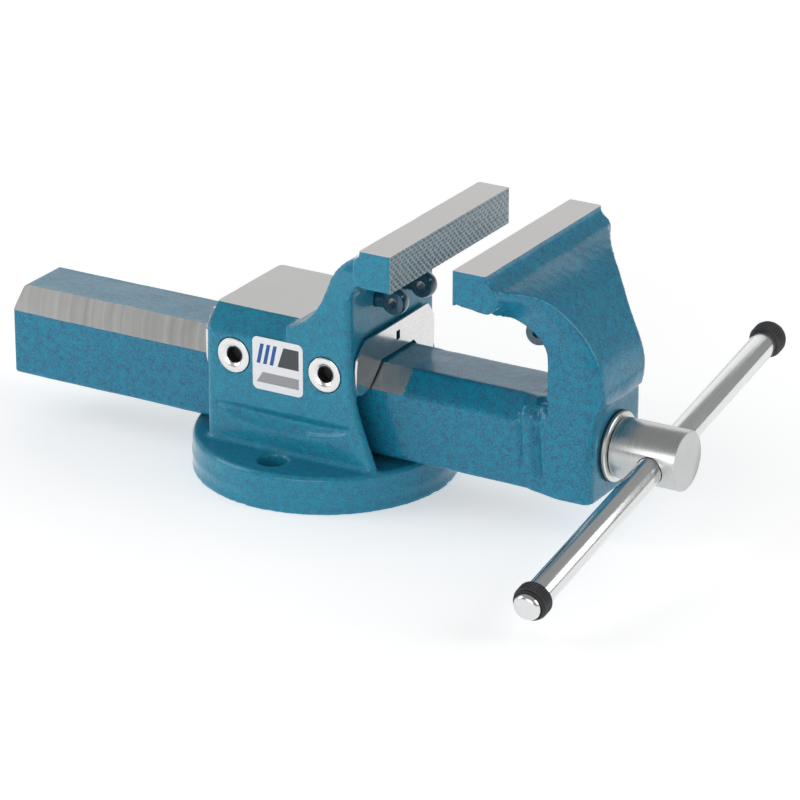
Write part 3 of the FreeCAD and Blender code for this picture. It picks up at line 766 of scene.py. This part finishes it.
def build_label_marks():
    """A plain pattern: three slanted blue stripes beside a grey wedge, over one pale grey foot."""
    for i in range(3):
        a = 0.08 + 0.13 * i
        stripe = [(a, 0.50), (a + 0.07, 0.50), (a + 0.15, 0.88), (a + 0.08, 0.88)]
        label_mark("label_stripe_%d" % (i + 1), stripe, blue_ink)
    label_mark("label_wedge", [(0.50, 0.50), (0.92, 0.50), (0.92, 0.88), (0.62, 0.88)], grey_ink)
    label_mark("label_foot", [(0.08, 0.14), (0.92, 0.14), (0.92, 0.34), (0.20, 0.34)], dull_ink)


# ---- spindle, rings and handle ----
def build_spindle():
    """The turned head and journal, and the right-hand trapezoidal screw."""
    head_rear, head_front, radius = washer_high.x + 0.0003, spindle_high.x, 0.0155
    journal = (bush_high.z - bush_low.z) / 2 - 0.003
    pitch, crest_radius, root_radius = 0.005, 0.011, 0.0085

    def place(along, a, b):
        return (along, a, spindle_z + b)

    centre_mark = [(head_front - 0.0008, 0.0), (head_front, 0.0008)]
    edge = [(head_front, radius - 0.0009), (head_front - 0.0003, radius - 0.0003),
            (head_front - 0.0009, radius)]
    neck = [(head_rear + 0.0006, radius), (head_rear, radius - 0.0006), (head_rear, journal),
            (0.1190, journal), (0.1184, journal - 0.0006), (0.1184, root_radius - 0.0003),
            (0.1184, 0.0)]
    head = lathe("spindle_turned", centre_mark + edge + neck, 96, head_steel, place)
    start = place(handle_x, 0, 0)
    bore_radius, reach = 0.0073, 0.04
    bore = []
    for i in range(48):
        angle = 2 * math.pi * i / 48
        bore.append((bore_radius * math.cos(angle), bore_radius * math.sin(angle)))
    up = Vector((0, -handle_axis.z, handle_axis.y))
    side = Vector((1, 0, 0))

    def through(a, b, depth):
        return tuple(Vector(start) + side * a + up * b + handle_axis * depth)

    carve(head, [prism("bore", bore, (-reach, reach), through)])

    screw_rear, screw_front = spindle_low.x, 0.1195
    segments, steps = 40, 10
    length = screw_front - screw_rear
    count = int(length / pitch * steps)
    vertices, faces = [], []
    for r in range(count + 1):
        x = screw_rear + length * r / count
        for i in range(segments):
            turn = i / segments
            phase = ((x - screw_rear) / pitch - turn) % 1.0
            shape = min(max((0.5 - abs(phase - 0.5) - 0.19) / 0.13, 0.0), 1.0)
            end = min(1.0, (x - screw_rear) / 0.002, (0.1145 - x) / 0.002)
            radius_here = root_radius + (crest_radius - root_radius) * shape * max(end, 0.0)
            angle = 2 * math.pi * turn
            vertices.append(place(x, radius_here * math.cos(angle), radius_here * math.sin(angle)))
    for r in range(count):
        for i in range(segments):
            j = (i + 1) % segments
            faces.append([r * segments + i, r * segments + j, (r + 1) * segments + j,
                          (r + 1) * segments + i])
    faces.append(list(range(segments)))
    faces.append([count * segments + i for i in range(segments)])
    screw = add_mesh("spindle_screw", vertices, faces, [head_steel])
    face_outwards(screw)
    shade(head, 30)
    shade(screw, 25)
    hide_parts("spindle")
    for obj in (head, screw):
        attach(obj, "spindle_unit")


def build_collar(which):
    """A moulded collar: straight ribs round its middle between two plain shoulders."""
    low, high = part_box("handle_collar_" + which)
    centre = (low + high) / 2
    outer, inner = 0.0091, 0.00702
    half, ribs, per_rib, rib_depth = 0.0035, 42, 6, 0.0007
    up = Vector((0, -handle_axis.z, handle_axis.y))
    one_end = [(half, inner, 0.0), (half, outer - 0.0007, 0.0), (half - 0.0003, outer - 0.0003, 0.2),
               (half - 0.0007, outer, 1.0)]
    profile = [(-along, radius, share) for along, radius, share in one_end]
    profile += reversed(one_end)
    segments = ribs * per_rib
    vertices, faces = [], []
    for along, radius, share in profile:
        for i in range(segments):
            phase = (i % per_rib) / per_rib
            groove = rib_depth * share * (1 - min(1.0, 2.2 * abs(phase - 0.5) + 0.0))
            r = radius - groove
            angle = 2 * math.pi * i / segments
            point = centre + handle_axis * along + Vector((1, 0, 0)) * r * math.cos(angle)
            vertices.append(point + up * r * math.sin(angle))
    for r in range(len(profile)):
        s = (r + 1) % len(profile)
        for i in range(segments):
            j = (i + 1) % segments
            faces.append([r * segments + i, r * segments + j, s * segments + j, s * segments + i])
    obj = add_mesh("handle_collar_" + which + "_ribbed", vertices, faces, [black_plastic])
    face_outwards(obj)
    shade(obj, 35)
    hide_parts("handle_collar_" + which)
    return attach(obj, "handle_unit")


def build_handle_bar():
    """The drawn bar with its rounded tips."""
    low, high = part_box("handle_bar")
    centre, half, radius = (low + high) / 2, 0.135, 0.007
    up = Vector((0, -handle_axis.z, handle_axis.y))
    tip = [(half, 0.0), (half, radius - 0.0021), (half - 0.0002, radius - 0.0014),
           (half - 0.0007, radius - 0.0007), (half - 0.0014, radius - 0.0002), (half - 0.0021, radius)]
    profile = [(-along, r) for along, r in tip] + list(reversed(tip))

    def place(along, a, b):
        return centre + handle_axis * along + Vector((a, 0, 0)) + up * b

    obj = lathe("handle_bar_drawn", profile, 72, bar_steel, place)
    shade(obj, 35)
    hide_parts("handle_bar")
    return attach(obj, "handle_unit")


# ---- CAD parts that are shown as they are ----
def dress_cad_parts():
    finishes = {"fixed_pipe_stud_near": stud_paint, "fixed_pipe_stud_far": stud_paint,
                "moving_pipe_stud_near": stud_paint, "moving_pipe_stud_far": stud_paint,
                "spindle_nut": bronze, "nut_screws": dark_steel, "guide_pad_rear": bronze,
                "guide_pad_front": bronze, "label_plate": foil, "spindle_bush": bronze,
                "seal_ring": black_rubber, "thrust_washer": washer_metal, "disc_spring": dark_steel,
                "retaining_collar": dark_steel, "retainer_pin": dark_steel,
                "handle_ring_near": black_rubber, "handle_ring_far": black_rubber}
    for name, material in finishes.items():
        node = nodes[name]
        node.data.materials.clear()
        node.data.materials.append(material)


# ---- studio ----
def soft_light(name, place, target, size, power, colour=(1, 1, 1)):
    lamp = bpy.data.lights.new(name, "AREA")
    lamp.shape = "RECTANGLE"
    lamp.size, lamp.size_y = size
    lamp.energy = power
    lamp.color = colour
    obj = bpy.data.objects.new(name, lamp)
    obj.location = place
    obj.rotation_euler = (Vector(target) - Vector(place)).to_track_quat("-Z", "Y").to_euler()
    bpy.context.scene.collection.objects.link(obj)


def studio():
    scene = bpy.context.scene
    scene.view_settings.view_transform = "Standard"
    floor_surface = Surface("floor")
    tint = floor_surface.noise(3.0, 2.0)
    pale = floor_surface.mix(tint, (0.90, 0.90, 0.90), (0.92, 0.92, 0.92))
    floor_surface.finish(pale, 0.9, **{"Specular IOR Level": 0.1, "Emission Color": (1, 1, 1, 1),
                                       "Emission Strength": 0.42})
    size = 12.0
    corners = [(-size, -size, 0), (size, -size, 0), (size, size, 0), (-size, size, 0)]
    floor = add_mesh("floor", corners, [[0, 1, 2, 3]], [floor_surface.material])
    world = bpy.data.worlds.new("studio")
    scene.world = world
    world.use_nodes = True
    background = world.node_tree.nodes["Background"]
    background.inputs["Color"].default_value = (1, 1, 1, 1)
    background.inputs["Strength"].default_value = 0.34
    middle = (0.0, 0.0, 0.06)
    soft_light("back_panel", (-0.9, 2.0, 1.0), middle, (3.0, 1.6), 11)
    soft_light("left_panel", (-1.7, -0.9, 0.9), middle, (1.2, 1.2), 12)
    soft_light("right_panel", (1.9, 0.6, 1.0), middle, (1.2, 1.2), 12)
    soft_light("front_panel", (0.4, -2.0, 0.7), middle, (1.6, 0.9), 12)


def camera():
    lens = bpy.data.cameras.new("camera")
    lens.sensor_width = 36.0
    lens.lens = 189.6
    lens.clip_start, lens.clip_end = 0.05, 50.0
    obj = bpy.data.objects.new("camera", lens)
    azimuth, elevation = math.radians(30.36), math.radians(22.22)
    back = Vector((math.sin(azimuth) * math.cos(elevation), -math.cos(azimuth) * math.cos(elevation),
                   math.sin(elevation)))
    obj.location = (1.0493, -1.7160, 0.8561)
    obj.rotation_euler = (-back).to_track_quat("-Z", "Y").to_euler()
    bpy.context.scene.collection.objects.link(obj)
    bpy.context.scene.camera = obj


def main():
    camera()
    studio()
    dress_cad_parts()
    build_fixed_body()
    build_moving_jaw()
    knurled_panel("fixed_jaw_knurling", fixed_face, -1, fixed_face_low, "fixed_side")
    knurled_panel("moving_jaw_knurling", moving_face, 1, moving_face_low, "moving_side")
    for which in ("rear", "front"):
        build_guide_screw(which)
    build_cover_plate("cover_plate", 1)
    build_cover_plate("rear_cover_plate", -1)
    build_label_marks()
    build_spindle()
    build_handle_bar()
    for which in ("near", "far"):
        build_collar(which)


main()
